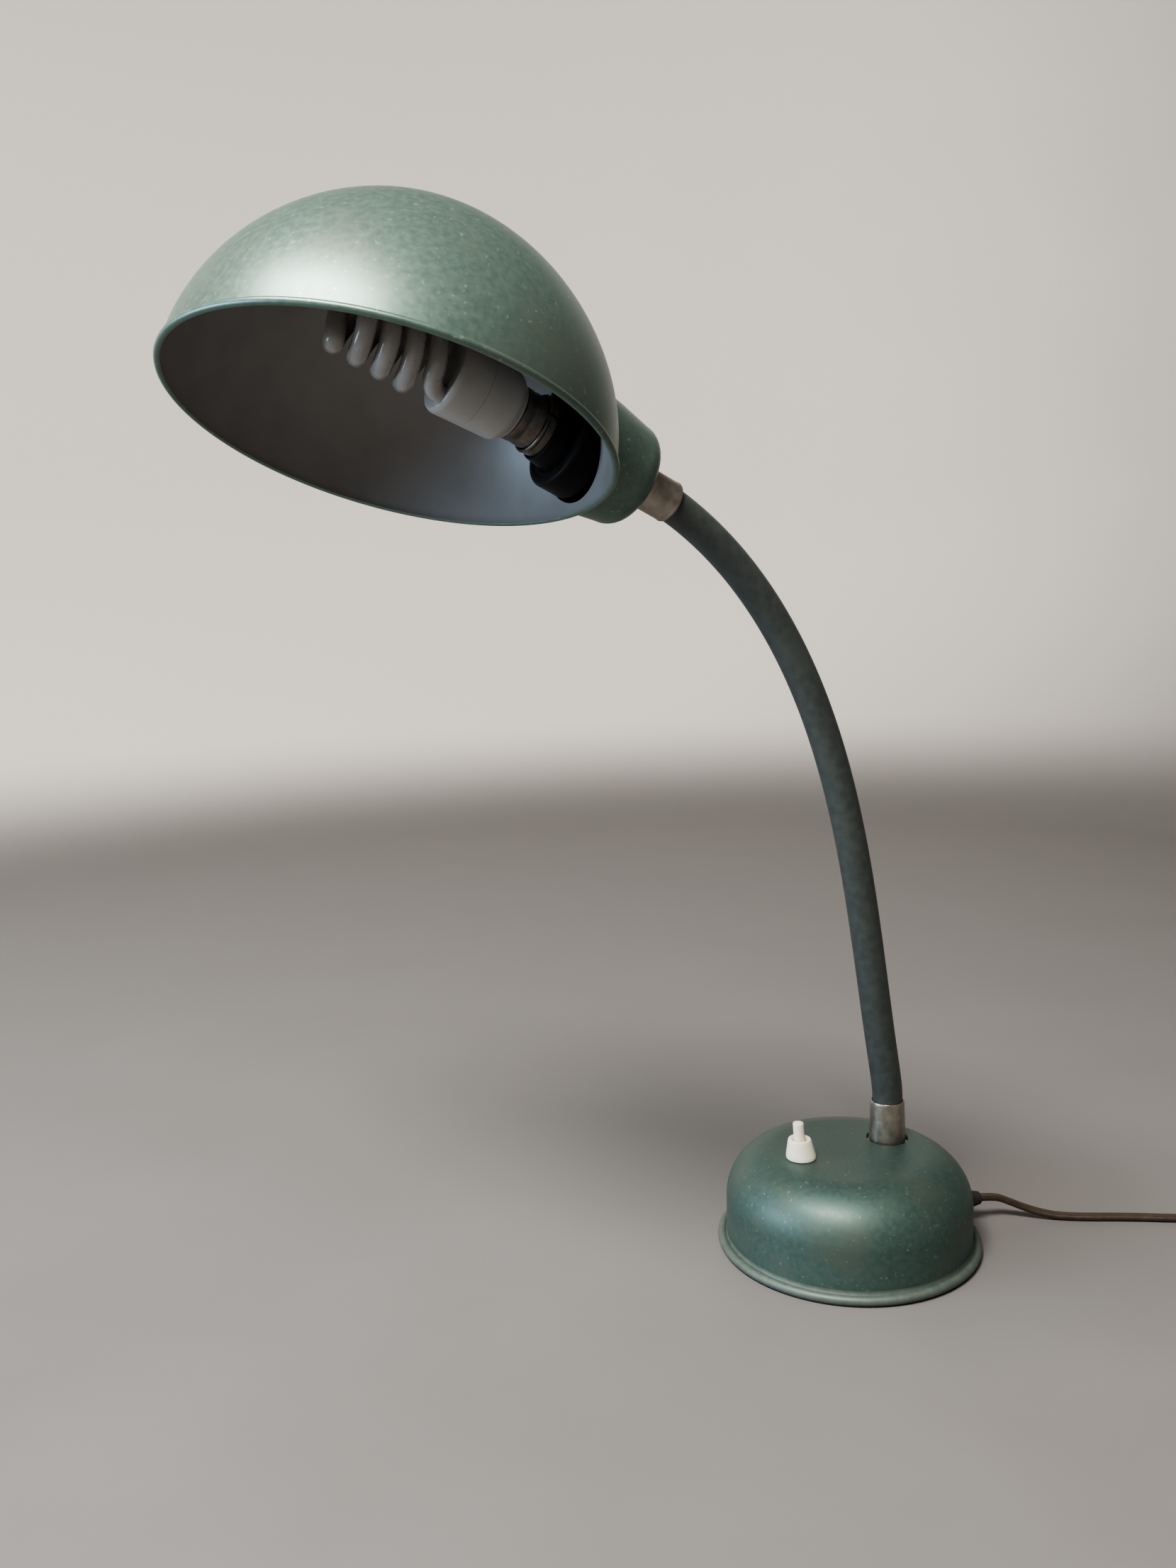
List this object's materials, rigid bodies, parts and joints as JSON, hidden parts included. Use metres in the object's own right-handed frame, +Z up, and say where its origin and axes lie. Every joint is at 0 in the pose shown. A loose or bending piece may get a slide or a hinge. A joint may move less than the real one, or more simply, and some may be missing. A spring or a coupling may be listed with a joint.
{
  "type": "gooseneck desk lamp",
  "caption": "Free-standing desk lamp with a weighted round base, a push switch, a bendable gooseneck and a dome shade over a spiral bulb.",
  "frame": {"origin": "centre of the base's underside, on the plane that the felt rests on", "axes": "+Z up; the neck stands on the +X side of the base and its head hangs towards -X"},
  "size_m": [0.5959, 0.2624, 0.4711],
  "materials": {
    "green_paint": "semi-gloss green metallic enamel, worn",
    "felt": "dense green-grey felt",
    "plain_steel": "zinc-plated steel",
    "cast_iron": "rough cast iron",
    "nickel": "dull aged nickel plate",
    "ivory_plastic": "smooth ivory plastic, slightly yellowed",
    "black_bakelite": "black phenolic moulding",
    "brass": "spring brass",
    "white_plastic": "matte white moulding",
    "frosted_glass": "phosphor-coated white glass tube",
    "neck_sleeve": "smooth dark grey-green sleeve",
    "neck_core": "wound steel strip",
    "brown_cord": "brown plastic-covered twin flex",
    "brown_plug": "brown moulding",
    "black_rubber": "soft black rubber"
  },
  "bodies": {
    "base": {"base_shell": "green_paint", "felt_pad": "felt", "base_plate": "plain_steel", "ballast_weight": "cast_iron", "ballast_bolt": "plain_steel", "ballast_nut": "plain_steel", "plate_screw_1": "plain_steel", "plate_screw_2": "plain_steel", "plate_screw_3": "plain_steel", "foot_ferrule": "nickel", "foot_plate": "plain_steel", "foot_nut": "plain_steel", "foot_threaded_tube": "plain_steel", "switch_body": "black_bakelite", "switch_collar": "ivory_plastic", "switch_spring": "plain_steel", "neck_sleeve_0": "neck_sleeve", "neck_core_0": "neck_core", "cord_bush": "black_rubber", "supply_lead": "brown_cord", "neck_lead": "brown_cord", "cord_run": "brown_cord", "cord_coil": "brown_cord", "cord_tie": "black_rubber", "cord_tail": "brown_cord", "plug_body": "brown_plug", "plug_pin_1": "nickel", "plug_pin_2": "nickel"},
    "switch_button": {"switch_plunger": "ivory_plastic"},
    "link_1": {"neck_sleeve_1": "neck_sleeve", "neck_core_1": "neck_core"},
    "link_2": {"neck_sleeve_2": "neck_sleeve", "neck_core_2": "neck_core"},
    "link_3": {"neck_sleeve_3": "neck_sleeve", "neck_core_3": "neck_core"},
    "link_4": {"neck_sleeve_4": "neck_sleeve", "neck_core_4": "neck_core"},
    "link_5": {"neck_sleeve_5": "neck_sleeve", "neck_core_5": "neck_core"},
    "link_6": {"neck_sleeve_6": "neck_sleeve", "neck_core_6": "neck_core"},
    "link_7": {"neck_sleeve_7": "neck_sleeve", "neck_core_7": "neck_core"},
    "link_8": {"neck_sleeve_8": "neck_sleeve", "neck_core_8": "neck_core"},
    "head": {"neck_sleeve_end": "neck_sleeve", "neck_core_end": "neck_core", "head_ferrule": "nickel", "head_threaded_tube": "plain_steel", "head_nut": "plain_steel", "shade_dome": "green_paint", "shade_cup": "green_paint", "holder_body": "black_bakelite", "holder_skirt": "black_bakelite", "holder_sleeve": "nickel", "holder_contact_1": "brass", "holder_contact_2": "brass", "bulb_cap": "nickel", "bulb_housing": "white_plastic", "bulb_tube": "frosted_glass"}
  },
  "joints": [
    {"name": "neck_bend", "type": "hinge", "parent": "base", "child": "link_1", "pos_m": [0.02358, 0, 0.08585], "axis": [0.0001, -1, 0], "range_deg": [-15, 8]},
    {"name": "neck_sway", "type": "hinge", "parent": "link_1", "child": "link_2", "pos_m": [0.01714, 0, 0.1228], "axis": [-0.9864, -0.0009, -0.1645], "range_deg": [-10, 10]},
    {"name": "neck_bend_2", "type": "hinge", "parent": "link_2", "child": "link_3", "pos_m": [0.01097, -0.00001, 0.15928], "axis": [0.0028, -1, 0], "range_deg": [-15, 8]},
    {"name": "neck_sway_2", "type": "hinge", "parent": "link_3", "child": "link_4", "pos_m": [0.00368, -0.00004, 0.19606], "axis": [-0.9756, -0.0054, -0.2194], "range_deg": [-10, 10]},
    {"name": "neck_bend_3", "type": "hinge", "parent": "link_4", "child": "link_5", "pos_m": [-0.00578, -0.00012, 0.23182], "axis": [0.0093, -1, 0], "range_deg": [-15, 8]},
    {"name": "neck_sway_3", "type": "hinge", "parent": "link_5", "child": "link_6", "pos_m": [-0.01883, -0.00027, 0.26695], "axis": [-0.9152, -0.0128, -0.4029], "range_deg": [-10, 10]},
    {"name": "neck_bend_4", "type": "hinge", "parent": "link_6", "child": "link_7", "pos_m": [-0.03608, -0.00056, 0.29965], "axis": [0.0196, -0.9998, 0], "range_deg": [-15, 8]},
    {"name": "neck_sway_4", "type": "hinge", "parent": "link_7", "child": "link_8", "pos_m": [-0.05869, -0.00108, 0.3295], "axis": [-0.7384, -0.0193, -0.6741], "range_deg": [-10, 10]},
    {"name": "neck_bend_5", "type": "hinge", "parent": "link_8", "child": "head", "pos_m": [-0.08625, -0.0019, 0.35407], "axis": [0.0336, -0.9994, 0], "range_deg": [-15, 8]},
    {"name": "switch_press", "type": "slide", "parent": "base", "child": "switch_button", "axis": [0, 0, -1], "range_m": [0, 0.0035], "stiffness_N_per_m": 500, "springref_m": -0.002, "deforming": ["switch_spring"]}
  ],
  "couplings": [
    {"joint": "neck_bend_2", "follows": "neck_bend", "ratio": 1},
    {"joint": "neck_sway_2", "follows": "neck_sway", "ratio": 1},
    {"joint": "neck_bend_3", "follows": "neck_bend", "ratio": 1},
    {"joint": "neck_sway_3", "follows": "neck_sway", "ratio": 1},
    {"joint": "neck_bend_4", "follows": "neck_bend", "ratio": 1},
    {"joint": "neck_sway_4", "follows": "neck_sway", "ratio": 1},
    {"joint": "neck_bend_5", "follows": "neck_bend", "ratio": 1}
  ]
}
